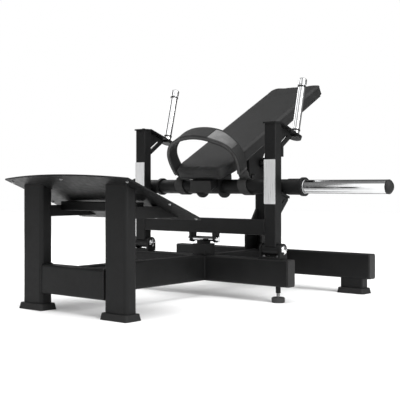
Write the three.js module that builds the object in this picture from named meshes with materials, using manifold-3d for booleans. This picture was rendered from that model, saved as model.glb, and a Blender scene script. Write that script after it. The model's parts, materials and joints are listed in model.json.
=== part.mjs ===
// Plate-loaded hip thrust machine.
// Millimetres, +Z up, +X along the weight bar, +Y from the footplate towards the head end.
// Points are first given in the machine's own frame: X = 0 on the centre line, Y = 0 on the front face
// of the rack's uprights, Z = 0 on the floor. The finished group is then shifted along Y, so that the
// origin is the centre of the footprint on the floor.
import * as THREE from "three";
import { mergeVertices } from "three/addons/utils/BufferGeometryUtils.js";
import Module from "manifold-3d";

const wasm = await Module();
wasm.setup();

// ---------- driving dimensions ----------
const GAP = 0.3; // clearance between pieces that touch
const SIDES = [
  ["left", -1],
  ["right", 1],
];

const BEAM = { height: 97, depth: 50, bottom: 58, corner: 8 };
BEAM.top = BEAM.bottom + BEAM.height;

const LEG = { x: 198, width: 98, front: -656, rear: -606, corner: 13 };
const FOOT = { height: 21, overhang: 11, draft: 4, corner: 10 };
const MID_BEAM = { front: -8, halfLength: 396 };
const REAR_BEAM = { front: 416, halfLength: 486 };
const BEAM_CAP = { thickness: 5, crownInset: 3, crownHeight: 2 };
const REAR_FOOT = { x: 411, width: 96, inset: 2, corner: 6 };
const LEVELLER = { x: 345, socketRadius: 9, socketBottom: 34, rodRadius: 6, rodReach: 22, boreDepth: 40 };
const LEVELLER_DISC = { radius: 24, height: 19 };

const PLATE = { slope: 21, thickness: 5, lowY: -345, lowZ: 303 };
const PLATE_SHAPE = { halfWidth: 293, length: 375, bow: 33, corner: 8 };
const RAIL = { width: 30, height: 38, bottom: 313 };
const CROSS_TUBE = { front: -540, rear: -510, bottom: 333, top: 364 };

const POST = { halfWidth: 50, top: 494, gussetReach: 80, gussetKnee: 57, gussetHeight: 166 };
POST.gussetX = 40;
POST.gussetThickness = 8;
const LEVER_PIVOT = { y: 308, z: 451, radius: 24, pin: 10, armHalfWidth: 13.4 };
const PIN_HEAD = { radius: 15, length: 7 };
const STOP_BLOCK = { halfWidth: 42, front: 350, height: 32, slotHalfWidth: 24.5, slotRear: 446 };
const BUMPER = { x: 33, radius: 6, height: 7, fromFront: 15 };

const RACK = { x: 320, width: 50, depth: 40, top: 641, pivotY: 20, pivotZ: 188, tubeRadius: 20 };
const RACK_PIN = { radius: 11, headRadius: 16, headHeight: 9 };
const BRACKET = { inner: 37.5, plate: 8, width: 46, base: 8 };
const SIDE_TAB = { x: 340, width: 10, rear: 51, bottom: 522, top: 570 };
const CROSSBEAM = { bottom: 239, top: 295, corner: 5 };
const RACK_SWING = 20; // degrees the rack tips forward from upright
const STOP_SHAFT = { z: 215.5, radius: 9.5, headRadius: 13, halfLength: 67, lugX: 57, lugThickness: 10 };
const SADDLE = { halfWidth: 30, front: -13, rear: 47, top: 197, earHalfWidth: 9, earTop: 210 };

const HANDLE = { slope: 19, thickness: 6, width: 50, length: 154, boss: 7, webThickness: 8 };
const HANDLE_WEB = { length: 92, drop: 109, rise: 0.68, slotUp: 19, slotWidth: 9 };
const HANDLE_SLOT = { start: 14, lowEnd: 68, highEnd: 64 };
const GRIP = { y: 165, lean: 13.7, radius: 14.2, length: 196, capRadius: 16.2, capHeight: 27 };
const CRADLE = { slope: 18, reach: 52, thickness: 8, web: 8, webX: 335, drop: 74 };
const CRADLE_SLOT = { drop: 34, start: 8, width: 6, lean: 14, height: 15 };
const NAME_PLATE = { width: 48, bottom: 352, top: 512, thickness: 2 };

const PAD = { slope: 28.7, lowY: -23, lowZ: 479, length: 782, thickness: 43, board: 4, halfWidth: 126 };
const PAD_END = { lowHalfWidth: 104, lowTaper: 72, highHalfWidth: 112, highTaper: 16 };
const PAD_TUBE = { halfWidth: 50, depth: 38, corner: 6, frontY: 0, length: 560 };
const BAR = { y: 77, z: 414, radius: 27.5, halfLength: 421, sleeveStart: 352, sleeveRadius: 29.5 };
const COLLAR = { radius: 34, width: 12, middle: 267 };
const BAR_LUG = { radius: 43, thickness: 8, halfTop: 34 };
const HORN = { radius: 24.5, length: 324, capRadius: 21.5, capLength: 19 };
const FORK = { inner: 14, outer: 22, topFront: 30, topRear: 120 };

const BELT = { centre: 8, x: 163, bottom: 64, thickness: 13 };
const ARCH = { bulge: 174, bulgeHeight: 122, apex: 241, ovalPower: 0.92 };
const BELT_CUT = { middleWidth: 76, endWidth: 46, straightHalf: 95, reach: 190 };
const BELT_LOOP = { clearance: 0.5, thickness: 5, width: 50, neckHalfX: 12, neckHalfWidth: 22 };

// ---------- finishes ----------
const finish = (color, roughness, metalness) =>
  new THREE.MeshStandardMaterial({ color, roughness, metalness });
const blackPowderCoat = finish(0x1e1e1f, 0.5, 0.2);
const chrome = finish(0xdcdde0, 0.12, 1.0);
const rubber = finish(0x202020, 0.8, 0.0);
const blackPlastic = finish(0x242425, 0.55, 0.0);
const brushedPlate = finish(0xc9cacb, 0.35, 0.9);
const padLeather = finish(0x3d3d3e, 0.6, 0.0);
const webbing = finish(0x3a3a3b, 0.85, 0.0);

const group = new THREE.Group();

// ---------- geometry helpers ----------
const rad = THREE.MathUtils.degToRad;

// A closed three.js geometry as a solid that can be joined and cut.
function solid(geometry) {
  const plain = geometry.clone();
  plain.deleteAttribute("normal");
  plain.deleteAttribute("uv");
  const merged = mergeVertices(plain, 1e-4);
  return new wasm.Manifold(
    new wasm.Mesh({
      numProp: 3,
      vertProperties: new Float32Array(merged.attributes.position.array),
      triVerts: new Uint32Array(merged.index.array),
    }),
  );
}

function geometryOf(manifold) {
  const mesh = manifold.getMesh();
  const positions = new Float32Array(mesh.numVert * 3);
  for (let i = 0; i < mesh.numVert; i++) {
    const start = i * mesh.numProp;
    positions.set(mesh.vertProperties.subarray(start, start + 3), i * 3);
  }
  const indexed = new THREE.BufferGeometry()
    .setAttribute("position", new THREE.BufferAttribute(positions, 3))
    .setIndex(new THREE.BufferAttribute(new Uint32Array(mesh.triVerts), 1));
  const faceted = indexed.toNonIndexed();
  faceted.computeVertexNormals();
  return faceted;
}

const join = (...parts) => geometryOf(parts.map(solid).reduce((whole, part) => whole.add(part)));
const cut = (whole, ...tools) =>
  geometryOf(tools.map(solid).reduce((left, tool) => left.subtract(tool), solid(whole)));

function add(name, geometry, material) {
  const mesh = new THREE.Mesh(geometry, material);
  mesh.name = name;
  group.add(mesh);
  return mesh;
}

function box(x0, x1, y0, y1, z0, z1) {
  const geometry = new THREE.BoxGeometry(x1 - x0, y1 - y0, z1 - z0);
  return geometry.translate((x0 + x1) / 2, (y0 + y1) / 2, (z0 + z1) / 2);
}

// Outline of a rectangle with rounded corners, in the shape's own plane.
function roundedRectangle(u0, u1, v0, v1, radius) {
  const shape = new THREE.Shape();
  shape.moveTo(u0 + radius, v0);
  shape.lineTo(u1 - radius, v0);
  shape.absarc(u1 - radius, v0 + radius, radius, -Math.PI / 2, 0);
  shape.lineTo(u1, v1 - radius);
  shape.absarc(u1 - radius, v1 - radius, radius, 0, Math.PI / 2);
  shape.lineTo(u0 + radius, v1);
  shape.absarc(u0 + radius, v1 - radius, radius, Math.PI / 2, Math.PI);
  shape.lineTo(u0, v0 + radius);
  shape.absarc(u0 + radius, v0 + radius, radius, Math.PI, 1.5 * Math.PI);
  return shape;
}

const polygon = (points) => new THREE.Shape(points.map(([u, v]) => new THREE.Vector2(u, v)));

function extrude(shape, depth, curveSegments = 4) {
  return new THREE.ExtrudeGeometry(shape, { depth, bevelEnabled: false, curveSegments, steps: 1 });
}

// Extrusions of an outline given as (y, z), (x, z) or (x, y).
const axesFromShape = (x, y, z) => new THREE.Matrix4().makeBasis(x, y, z);
const AXIS_X = new THREE.Vector3(1, 0, 0);
const AXIS_Y = new THREE.Vector3(0, 1, 0);
const AXIS_Z = new THREE.Vector3(0, 0, 1);

function extrudeX(shape, x0, x1, curveSegments) {
  const turn = axesFromShape(AXIS_Y, AXIS_Z, AXIS_X);
  return extrude(shape, x1 - x0, curveSegments).applyMatrix4(turn).translate(x0, 0, 0);
}

function extrudeY(shape, y0, y1, curveSegments) {
  const turn = axesFromShape(AXIS_X, AXIS_Z, AXIS_Y.clone().negate());
  return extrude(shape, y1 - y0, curveSegments).applyMatrix4(turn).translate(0, y1, 0);
}

const extrudeZ = (shape, z0, z1, curveSegments) => extrude(shape, z1 - z0, curveSegments).translate(0, 0, z0);

// A solid turned about +Z from a profile of [radius, height] points that starts and ends on the axis.
function turned(profile, segments = 28) {
  const points = profile.map(([radius, height]) => new THREE.Vector2(radius, height));
  return new THREE.LatheGeometry(points, segments).rotateX(Math.PI / 2);
}

// The same, turned about the line parallel to +X through (y, z); heights run along +X.
const turnedX = (profile, y, z, segments) =>
  turned(profile, segments).rotateY(Math.PI / 2).translate(0, y, z);

const rodX = (x0, x1, y, z, radius, segments) =>
  turnedX([[0, x0], [radius, x0], [radius, x1], [0, x1]], y, z, segments);

const tubeX = (x0, x1, y, z, outer, inner, segments) =>
  turnedX([[inner, x0], [outer, x0], [outer, x1], [inner, x1], [inner, x0]], y, z, segments);

const rodZ = (x, y, z0, z1, radius, segments) =>
  turned([[0, z0], [radius, z0], [radius, z1], [0, z1]], segments).translate(x, y, 0);

// A frame that slopes about the X axis: local y runs up the slope from a point, local z is its normal.
function slope(geometry, degrees, y, z) {
  return geometry.rotateX(rad(degrees)).translate(0, y, z);
}

// Places one side's geometry, made for +X, on the left by mirroring it.
function mirrored(geometry, side) {
  if (side > 0) return geometry;
  const copy = geometry.index ? geometry.toNonIndexed() : geometry.clone();
  copy.scale(-1, 1, 1);
  const positions = copy.getAttribute("position");
  for (let i = 0; i < positions.count; i += 3) {
    const b = new THREE.Vector3().fromBufferAttribute(positions, i + 1);
    const c = new THREE.Vector3().fromBufferAttribute(positions, i + 2);
    positions.setXYZ(i + 1, c.x, c.y, c.z);
    positions.setXYZ(i + 2, b.x, b.y, b.z);
  }
  copy.computeVertexNormals();
  return copy;
}

// Makes a piece for +X and its mirror image, named NAME_left and NAME_right.
function addPair(name, geometry, material) {
  for (const [label, side] of SIDES) add(`${name}_${label}`, mirrored(geometry, side), material);
}

// ---------- base frame ----------
const plateUndersideZ = (y) => PLATE.lowZ + (PLATE.lowY - y) * Math.tan(rad(PLATE.slope));

function makeFrontLegs() {
  const half = LEG.width / 2;
  const outline = roundedRectangle(LEG.x - half, LEG.x + half, LEG.front, LEG.rear, LEG.corner);
  const column = extrudeZ(outline, FOOT.height + GAP, 460);
  const aboveFront = plateUndersideZ(LEG.front - 20) - GAP;
  const aboveRear = plateUndersideZ(LEG.rear + 20) - GAP;
  const overPlate = polygon([
    [LEG.front - 20, aboveFront],
    [LEG.rear + 20, aboveRear],
    [LEG.rear + 20, 600],
    [LEG.front - 20, 600],
  ]);
  const leg = cut(column, extrudeX(overPlate, LEG.x - half - 5, LEG.x + half + 5));
  addPair("front_leg", leg, blackPowderCoat);
}

// A rubber foot around the tube that stands on it, a little wider at the floor than at its top.
function footGeometry(x, width, front, rear) {
  const halfX = width / 2 + FOOT.overhang;
  const halfY = (rear - front) / 2 + FOOT.overhang;
  const block = extrudeZ(roundedRectangle(-halfX, halfX, -halfY, halfY, FOOT.corner), 0, FOOT.height, 3);
  const corners = block.getAttribute("position");
  for (let i = 0; i < corners.count; i++) {
    if (corners.getZ(i) < FOOT.height / 2) continue;
    corners.setX(i, (corners.getX(i) * (halfX - FOOT.draft)) / halfX);
    corners.setY(i, (corners.getY(i) * (halfY - FOOT.draft)) / halfY);
  }
  return block.translate(x, (front + rear) / 2, 0);
}

function makeFeet() {
  addPair("front_foot", footGeometry(LEG.x, LEG.width, LEG.front, LEG.rear), rubber);
  const rearY1 = REAR_BEAM.front + BEAM.depth;
  addPair("rear_foot", footGeometry(REAR_FOOT.x, REAR_FOOT.width, REAR_BEAM.front, rearY1), rubber);
}

const beamSection = (front) =>
  roundedRectangle(front, front + BEAM.depth, BEAM.bottom, BEAM.top, BEAM.corner);

function makeBaseBeams() {
  const crossEnd = LEG.x - LEG.width / 2 - GAP;
  add("front_crossbar", extrudeX(beamSection(LEG.front), -crossEnd, crossEnd), blackPowderCoat);

  const half = BEAM.depth / 2;
  const mainOutline = roundedRectangle(-half, half, BEAM.bottom, BEAM.top, BEAM.corner);
  const main = extrudeY(mainOutline, LEG.rear + GAP, REAR_BEAM.front - GAP);
  add("main_beam", main, blackPowderCoat);

  const midBar = extrudeX(beamSection(MID_BEAM.front), half + GAP, MID_BEAM.halfLength);
  const socketY = MID_BEAM.front + BEAM.depth / 2;
  const { x: socketX, socketBottom, socketRadius, rodRadius, boreDepth } = LEVELLER;
  const socket = rodZ(socketX, socketY, socketBottom, BEAM.bottom + 2, socketRadius, 20);
  const boreTop = BEAM.bottom + boreDepth;
  const socketBore = rodZ(socketX, socketY, socketBottom - 5, boreTop, rodRadius + 0.5, 20);
  addPair("mid_beam", cut(join(midBar, socket), socketBore), blackPowderCoat);

  const rearBar = extrudeX(beamSection(REAR_BEAM.front), -REAR_BEAM.halfLength, REAR_BEAM.halfLength);
  const stubFront = REAR_BEAM.front + REAR_FOOT.inset;
  const stubRear = REAR_BEAM.front + BEAM.depth - REAR_FOOT.inset;
  const stubs = SIDES.map(([, side]) => {
    const x0 = side * REAR_FOOT.x - REAR_FOOT.width / 2;
    const outline = roundedRectangle(x0, x0 + REAR_FOOT.width, stubFront, stubRear, REAR_FOOT.corner);
    return extrudeZ(outline, FOOT.height + GAP, BEAM.bottom + 2);
  });
  add("rear_beam", join(rearBar, ...stubs), blackPowderCoat);
}

// Plastic plugs that close the open ends of the two cross beams, each with a shallow crown.
function makeBeamCaps() {
  const { thickness, crownInset: inset, crownHeight } = BEAM_CAP;
  for (const [name, beam] of [["mid_beam_cap", MID_BEAM], ["rear_beam_cap", REAR_BEAM]]) {
    const x0 = beam.halfLength + GAP;
    const rim = extrudeX(beamSection(beam.front), x0, x0 + thickness - crownHeight);
    const face = roundedRectangle(
      beam.front + inset,
      beam.front + BEAM.depth - inset,
      BEAM.bottom + inset,
      BEAM.top - inset,
      BEAM.corner,
    );
    addPair(name, join(rim, extrudeX(face, x0 + 1, x0 + thickness)), blackPlastic);
  }
}

function makeLevellers() {
  const y = MID_BEAM.front + BEAM.depth / 2;
  const { rodRadius, rodReach } = LEVELLER;
  const { radius: discRadius, height: discHeight } = LEVELLER_DISC;
  const profile = [
    [0, 0],
    [discRadius - 2, 0],
    [discRadius, 2],
    [discRadius, discHeight - 3],
    [discRadius - 3, discHeight],
    [rodRadius, discHeight],
    [rodRadius, BEAM.bottom + rodReach],
    [0, BEAM.bottom + rodReach],
  ];
  addPair("levelling_foot", turned(profile, 28).translate(LEVELLER.x, y, 0), rubber);
}

function makeRearPost() {
  const rear = REAR_BEAM.front + BEAM.depth;
  const { halfWidth } = POST;
  const outline = roundedRectangle(-halfWidth, halfWidth, REAR_BEAM.front, rear, BEAM.corner);
  const column = extrudeZ(outline, BEAM.top + GAP, POST.top);
  const front = REAR_BEAM.front + 1;
  const foot = BEAM.top + GAP;
  const profile = polygon([
    [front, foot],
    [front, foot + POST.gussetHeight],
    [front - 4, foot + POST.gussetHeight],
    [front - POST.gussetReach, foot + POST.gussetKnee],
    [front - POST.gussetReach, foot],
  ]);
  const { gussetX, gussetThickness } = POST;
  const gusset = extrudeX(profile, gussetX - gussetThickness / 2, gussetX + gussetThickness / 2);
  const gussets = SIDES.map(([, side]) => mirrored(gusset, side));
  add("rear_post", join(column, ...gussets), blackPowderCoat);
}

// The fixed half of the lever's hinge: an arm from the post with a rounded nose around the pin.
function makePivotArm() {
  const { y, z, radius, pin, armHalfWidth } = LEVER_PIVOT;
  const rear = REAR_BEAM.front - GAP;
  const nose = new THREE.Shape();
  nose.moveTo(rear, z - 75);
  nose.lineTo(rear, POST.top);
  nose.lineTo(STOP_BLOCK.front + 4, POST.top);
  nose.lineTo(y + 20, z + radius);
  nose.lineTo(y, z + radius);
  nose.absarc(y, z, radius, Math.PI / 2, 1.5 * Math.PI);
  nose.lineTo(y + 30, z - radius);
  const arm = extrudeX(nose, -armHalfWidth, armHalfWidth, 10);
  add("lever_pivot_arm", cut(arm, rodX(-60, 60, y, z, pin + 0.5)), blackPowderCoat);

  const headStart = FORK.outer + GAP;
  const headEnd = headStart + PIN_HEAD.length;
  const rightEnd = [
    [pin, headStart],
    [PIN_HEAD.radius, headStart],
    [PIN_HEAD.radius, headEnd - 3],
    [PIN_HEAD.radius - 4, headEnd],
    [0, headEnd],
  ];
  const leftEnd = rightEnd.map(([r, x]) => [r, -x]).reverse();
  const profile = [...leftEnd, ...rightEnd];
  add("lever_pivot_pin", turnedX(profile, y, z), blackPowderCoat);
}

// A slotted block on the post that the lever's tube meets at the top of its travel, clear of the fork.
function makeTravelStop() {
  const { halfWidth, front, height, slotHalfWidth, slotRear } = STOP_BLOCK;
  const bottom = POST.top + GAP;
  const rear = REAR_BEAM.front + BEAM.depth;
  const body = extrudeX(roundedRectangle(front, rear, bottom, bottom + height, 4), -halfWidth, halfWidth, 2);
  const bumpers = SIDES.map(([, side]) => {
    const base = bottom + height - 1;
    const profile = [
      [0, base],
      [BUMPER.radius, base],
      [BUMPER.radius, base + 3],
      [BUMPER.radius - 2.5, base + BUMPER.height],
      [0, base + BUMPER.height + 1],
    ];
    return turned(profile, 16).translate(side * BUMPER.x, front + BUMPER.fromFront, 0);
  });
  const slot = box(-slotHalfWidth, slotHalfWidth, front - 1, slotRear, bottom - 1, bottom + height + 1);
  add("travel_stop_block", join(cut(body, slot), ...bumpers), blackPowderCoat);
}

// ---------- footplate ----------
function makeFootplate() {
  const { thickness } = PLATE;
  const { halfWidth, length, bow, corner } = PLATE_SHAPE;
  const radius = (halfWidth ** 2 + bow ** 2) / (2 * bow);
  const halfAngle = Math.asin(halfWidth / radius);
  const shape = new THREE.Shape();
  shape.moveTo(-halfWidth + corner, 0);
  shape.lineTo(halfWidth - corner, 0);
  shape.lineTo(halfWidth, corner);
  shape.lineTo(halfWidth, length);
  const centre = length + bow - radius;
  shape.absarc(0, centre, radius, Math.PI / 2 - halfAngle, Math.PI / 2 + halfAngle);
  shape.lineTo(-halfWidth, corner);
  const sheet = extrude(shape, thickness, 16);
  // The outline's y runs up the slope, towards the front of the machine.
  sheet.rotateZ(Math.PI);
  add("footplate", slope(sheet, -PLATE.slope, PLATE.lowY, PLATE.lowZ), blackPowderCoat);

  const topZ = RAIL.bottom + RAIL.height;
  const slopeTan = Math.tan(rad(PLATE.slope));
  const yAt = (z) => PLATE.lowY - (z + 1 - PLATE.lowZ) / slopeTan;
  const rail = polygon([
    [LEG.rear + GAP, RAIL.bottom],
    [yAt(RAIL.bottom), RAIL.bottom],
    [yAt(topZ), topZ],
    [LEG.rear + GAP, topZ],
  ]);
  addPair("footplate_rail", extrudeX(rail, LEG.x - RAIL.width / 2, LEG.x + RAIL.width / 2), blackPowderCoat);

  const reach = LEG.x - RAIL.width / 2 - GAP;
  const section = roundedRectangle(CROSS_TUBE.front, CROSS_TUBE.rear, CROSS_TUBE.bottom, CROSS_TUBE.top, 3);
  add("footplate_cross_tube", extrudeX(section, -reach, reach, 2), blackPowderCoat);
}

// ---------- rack hinge ----------
function makeRackHinges() {
  const { x, pivotY, pivotZ } = RACK;
  const half = BRACKET.width / 2;
  const base = BEAM.top + GAP;
  const cheek = new THREE.Shape();
  cheek.moveTo(pivotY - half, base);
  cheek.lineTo(pivotY + half, base);
  cheek.lineTo(pivotY + half, pivotZ);
  cheek.absarc(pivotY, pivotZ, half, 0, Math.PI);
  const inner = extrudeX(cheek, x - BRACKET.inner - BRACKET.plate, x - BRACKET.inner, 12);
  const outer = extrudeX(cheek, x + BRACKET.inner, x + BRACKET.inner + BRACKET.plate, 12);
  const reach = BRACKET.inner + BRACKET.plate;
  const sole = box(x - reach, x + reach, pivotY - half, pivotY + half, base, base + BRACKET.base);
  const pinHole = rodX(x - 60, x + 60, pivotY, pivotZ, RACK_PIN.radius + 0.5, 28);
  addPair("rack_bracket", cut(join(inner, outer, sole), pinHole), blackPowderCoat);

  const end = reach + GAP;
  const { radius, headRadius, headHeight } = RACK_PIN;
  const dome = (sign) => [
    [headRadius, sign * end],
    [headRadius, sign * (end + 3)],
    [headRadius - 4, sign * (end + headHeight - 2)],
    [0, sign * (end + headHeight)],
  ];
  const profile = [...dome(-1).reverse(), [radius, -end], [radius, end], ...dome(1)];
  addPair("rack_pivot_pin", turnedX(profile, pivotY, pivotZ, 28).translate(x, 0, 0), chrome);

  const tubeHalf = BRACKET.inner - 0.5;
  const bushing = tubeX(x - tubeHalf, x + tubeHalf, pivotY, pivotZ, RACK.tubeRadius, radius + 0.6, 28);
  addPair("rack_pivot_tube", bushing, blackPowderCoat);
}

// A block on the beam crossing with two ears that catch the rack's cross shaft at both ends of its swing.
function makeStopSaddle() {
  const { halfWidth, front, rear, top, earHalfWidth, earTop } = SADDLE;
  const block = box(-halfWidth, halfWidth, front, rear, BEAM.top + GAP, top);
  const ears = box(-earHalfWidth, earHalfWidth, front, rear, top - 1, earTop);
  const { pivotY, pivotZ } = RACK;
  const arm = STOP_SHAFT.z - pivotZ;
  const clearance = STOP_SHAFT.radius + 0.6;
  const swept = [0, 0.35, 0.7, 1].map((share) => {
    const angle = share * RACK_SWING;
    const y = pivotY - arm * Math.sin(rad(angle));
    const z = pivotZ + arm * Math.cos(rad(angle));
    return rodX(-halfWidth - 5, halfWidth + 5, y, z, clearance);
  });
  const channelFront = pivotY - arm * Math.sin(rad(RACK_SWING)) - clearance;
  const channel = box(-halfWidth, halfWidth, channelFront, pivotY + clearance, earTop - 4, earTop + 20);
  add("rack_stop_saddle", cut(join(block, ears), ...swept, channel), blackPowderCoat);
}

// ---------- rack ----------
function makeUprights() {
  const { x, width, depth, top, pivotY, pivotZ, tubeRadius } = RACK;
  const outline = roundedRectangle(x - width / 2, x + width / 2, 0, depth, 5);
  const column = extrudeZ(outline, pivotZ + 12, top, 3);
  const seat = rodX(x - 60, x + 60, pivotY, pivotZ, tubeRadius + GAP + 0.1, 28);
  const { x: tabX, width: tabWidth, rear, bottom: tabBottom, top: tabTop } = SIDE_TAB;
  const tab = box(tabX - tabWidth / 2, tabX + tabWidth / 2, depth - 1, rear, tabBottom, tabTop);
  addPair("rack_upright", join(cut(column, seat), tab), blackPowderCoat);
}

function makeRackCrossbeam() {
  const end = RACK.x - RACK.width / 2 - GAP;
  const section = roundedRectangle(0, RACK.depth, CROSSBEAM.bottom, CROSSBEAM.top, CROSSBEAM.corner);
  const beam = extrudeX(section, -end, end);
  const y = RACK.pivotY;
  const { z, radius, lugX, lugThickness } = STOP_SHAFT;
  const outline = new THREE.Shape();
  outline.moveTo(y - 18, CROSSBEAM.bottom + 2);
  outline.lineTo(y - 14, z);
  outline.absarc(y, z, 14, Math.PI, 2 * Math.PI);
  outline.lineTo(y + 18, CROSSBEAM.bottom + 2);
  const lugs = SIDES.map(([, side]) => {
    const x0 = side * lugX - lugThickness / 2;
    return extrudeX(outline, x0, x0 + lugThickness, 8);
  });
  const hole = rodX(-80, 80, y, z, radius + GAP, 24);
  add("rack_crossbeam", cut(join(beam, ...lugs), hole), blackPowderCoat);

  const { halfLength, headRadius } = STOP_SHAFT;
  const start = lugX + lugThickness / 2 + GAP;
  const profile = [
    [0, -halfLength - 6],
    [9, -halfLength - 6],
    [headRadius, -halfLength - 2],
    [headRadius, -start],
    [radius, -start],
    [radius, start],
    [headRadius, start],
    [headRadius, halfLength + 2],
    [9, halfLength + 6],
    [0, halfLength + 6],
  ];
  add("rack_stop_shaft", turnedX(profile, y, z, 24), chrome);
}

function makeHandles() {
  const { x, top, depth } = RACK;
  const { slope: angle, thickness, width, length, boss, webThickness } = HANDLE;
  const base = top + GAP;
  const flatRear = depth + 2;
  const cap = box(x - width / 2 - 2, x + width / 2 + 2, -4, flatRear, base, base + thickness);

  const tongue = new THREE.Shape();
  tongue.moveTo(x - width / 2, -4);
  tongue.lineTo(x + width / 2, -4);
  tongue.lineTo(x + width / 2, length - width / 2);
  tongue.absarc(x, length - width / 2, width / 2, 0, Math.PI);
  const plate = slope(extrudeZ(tongue, 0, thickness, 12), -angle, flatRear, base);
  const puck = rodZ(x, length - width / 2, -boss, thickness / 2, width / 2 - 1, 28);
  const endBoss = slope(puck, -angle, flatRear, base);

  // Slotted web between the upright and the plate's underside.
  const y0 = depth + GAP;
  const under = (y) => base - (y - flatRear) * Math.tan(rad(angle)) + 1;
  const edgeZ = (y) => base - HANDLE_WEB.drop + (y - y0) * HANDLE_WEB.rise;
  const y1 = y0 + HANDLE_WEB.length;
  const web = polygon([
    [y0, edgeZ(y0)],
    [y1, edgeZ(y1)],
    [y1, under(y1)],
    [y0, under(y0)],
  ]);
  const slotPoint = (along, up) => [y0 + along, edgeZ(y0 + along) + HANDLE_WEB.slotUp + up];
  const { start: slotStart, lowEnd, highEnd } = HANDLE_SLOT;
  web.holes.push(polygonPath([
    slotPoint(slotStart, 0),
    slotPoint(lowEnd, 0),
    slotPoint(highEnd, HANDLE_WEB.slotWidth),
    slotPoint(slotStart, HANDLE_WEB.slotWidth),
  ]));
  const webPlate = extrudeX(web, x - webThickness / 2, x + webThickness / 2);
  addPair("handle_plate", join(cap, plate, endBoss, webPlate), blackPowderCoat);

  // The grip leans back a little less than the plate's normal, so its foot is cut to the plate.
  const { y: gripY, lean, radius, length: gripLength, capRadius, capHeight } = GRIP;
  const plateTop = (y) => base - (y - flatRear) * Math.tan(rad(angle)) + thickness / Math.cos(rad(angle));
  const leaning = (geometry) => geometry.rotateX(-rad(lean)).translate(x, gripY, plateTop(gripY));
  const rod = leaning(turned([[0, -20], [radius, -20], [radius, gripLength], [0, gripLength]], 24));
  const below = box(x - 60, x + 60, -120, 120, -60, 0).rotateX(-rad(angle));
  const grip = cut(rod, below.translate(0, gripY, plateTop(gripY) + GAP));
  addPair("handle_grip", grip, chrome);

  const start = gripLength + GAP;
  const capProfile = [
    [0, start],
    [capRadius - 1, start],
    [capRadius, start + 1],
    [capRadius, start + capHeight - 5],
    [capRadius - 4, start + capHeight - 1],
    [0, start + capHeight],
  ];
  addPair("handle_cap", leaning(turned(capProfile, 24)), chrome);
}

function polygonPath(points) {
  const path = new THREE.Path(points.map(([u, v]) => new THREE.Vector2(u, v)));
  path.closePath();
  return path;
}

// Shelves behind the uprights that the bar rests on, each with a slotted web below its outer side.
function makeCradles() {
  const { x, width, depth } = RACK;
  const { slope: angle, reach, thickness, web: webThickness, webX, drop } = CRADLE;
  const y0 = depth + GAP;
  const tan = Math.tan(rad(angle));
  const cos = Math.cos(rad(angle));
  // The shelf's top is tangent to the bar, one millimetre below it.
  const contact = BAR.radius + 1;
  const topAt = (y) => BAR.z - contact / cos - (y - BAR.y) * tan;
  const underAt = (y) => topAt(y) - thickness;
  const shelf = polygon([
    [y0, topAt(y0)],
    [y0, underAt(y0)],
    [y0 + reach, underAt(y0 + reach)],
    [y0 + reach, topAt(y0 + reach)],
  ]);
  const tip = y0 + reach - 3;
  const web = polygon([
    [y0, underAt(y0) + 1],
    [y0, underAt(y0) - drop],
    [tip, underAt(tip) - 8],
    [tip, underAt(tip) + 1],
  ]);
  const slotZ = underAt(y0) - CRADLE_SLOT.drop;
  const slotY = y0 + CRADLE_SLOT.start;
  const { width: slotWidth, lean: slotLean, height: slotHeight } = CRADLE_SLOT;
  web.holes.push(polygonPath([
    [slotY, slotZ],
    [slotY + slotWidth, slotZ],
    [slotY + slotLean + slotWidth, slotZ + slotHeight],
    [slotY + slotLean, slotZ + slotHeight],
  ]));
  const half = width / 2 - 1;
  const webPlate = extrudeX(web, webX - webThickness / 2, webX + webThickness / 2);
  addPair("bar_cradle", join(extrudeX(shelf, x - half, x + half), webPlate), blackPowderCoat);
}

function makeNamePlates() {
  const { width, bottom, top, thickness } = NAME_PLATE;
  const outline = roundedRectangle(RACK.x - width / 2, RACK.x + width / 2, bottom, top, 2);
  addPair("name_plate", extrudeY(outline, -thickness - GAP, -GAP, 2), brushedPlate);
}

// ---------- lever ----------
// Pad frame: local x across, local y up the pad from its low end, local z along its normal,
// 0 at its top face.
const onPad = (geometry) => slope(geometry, PAD.slope, PAD.lowY, PAD.lowZ);

function padOutline(inset) {
  const { length, halfWidth } = PAD;
  const { lowHalfWidth, lowTaper, highHalfWidth, highTaper } = PAD_END;
  return [
    [-lowHalfWidth + inset, inset],
    [lowHalfWidth - inset, inset],
    [halfWidth - inset, lowTaper + inset / 2],
    [halfWidth - inset, length - highTaper - inset / 2],
    [highHalfWidth - inset / 2, length - inset],
    [-highHalfWidth + inset / 2, length - inset],
    [-halfWidth + inset, length - highTaper - inset / 2],
    [-halfWidth + inset, lowTaper + inset / 2],
  ];
}

function makePad() {
  const { thickness, board } = PAD;
  add("back_pad", onPad(extrudeZ(polygon(padOutline(0)), -thickness, 0)), padLeather);
  const boardTop = -thickness - GAP;
  const backing = extrudeZ(polygon(padOutline(8)), boardTop - board, boardTop);
  add("pad_backing_plate", onPad(backing), blackPowderCoat);
}

function makePadTube() {
  const { halfWidth, depth, corner, frontY, length } = PAD_TUBE;
  const top = -PAD.thickness - PAD.board - 2 * GAP;
  const section = roundedRectangle(-halfWidth, halfWidth, top - depth, top, corner);
  const tube = onPad(extrudeY(section, -60, length));
  const plumbCut = box(-100, 100, -200, frontY, 300, 500);
  const barNotch = rodX(-200, 200, BAR.y, BAR.z, BAR.radius + GAP + 0.1);
  add("pad_tube", cut(tube, plumbCut, barNotch), blackPowderCoat);

  const slab = box(-100, 100, frontY - 4 - GAP, frontY - GAP, 300, 500);
  const whole = solid(onPad(extrudeY(section, -60, 20)));
  add("pad_tube_cap", geometryOf(whole.intersect(solid(slab))), blackPlastic);
}

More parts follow.
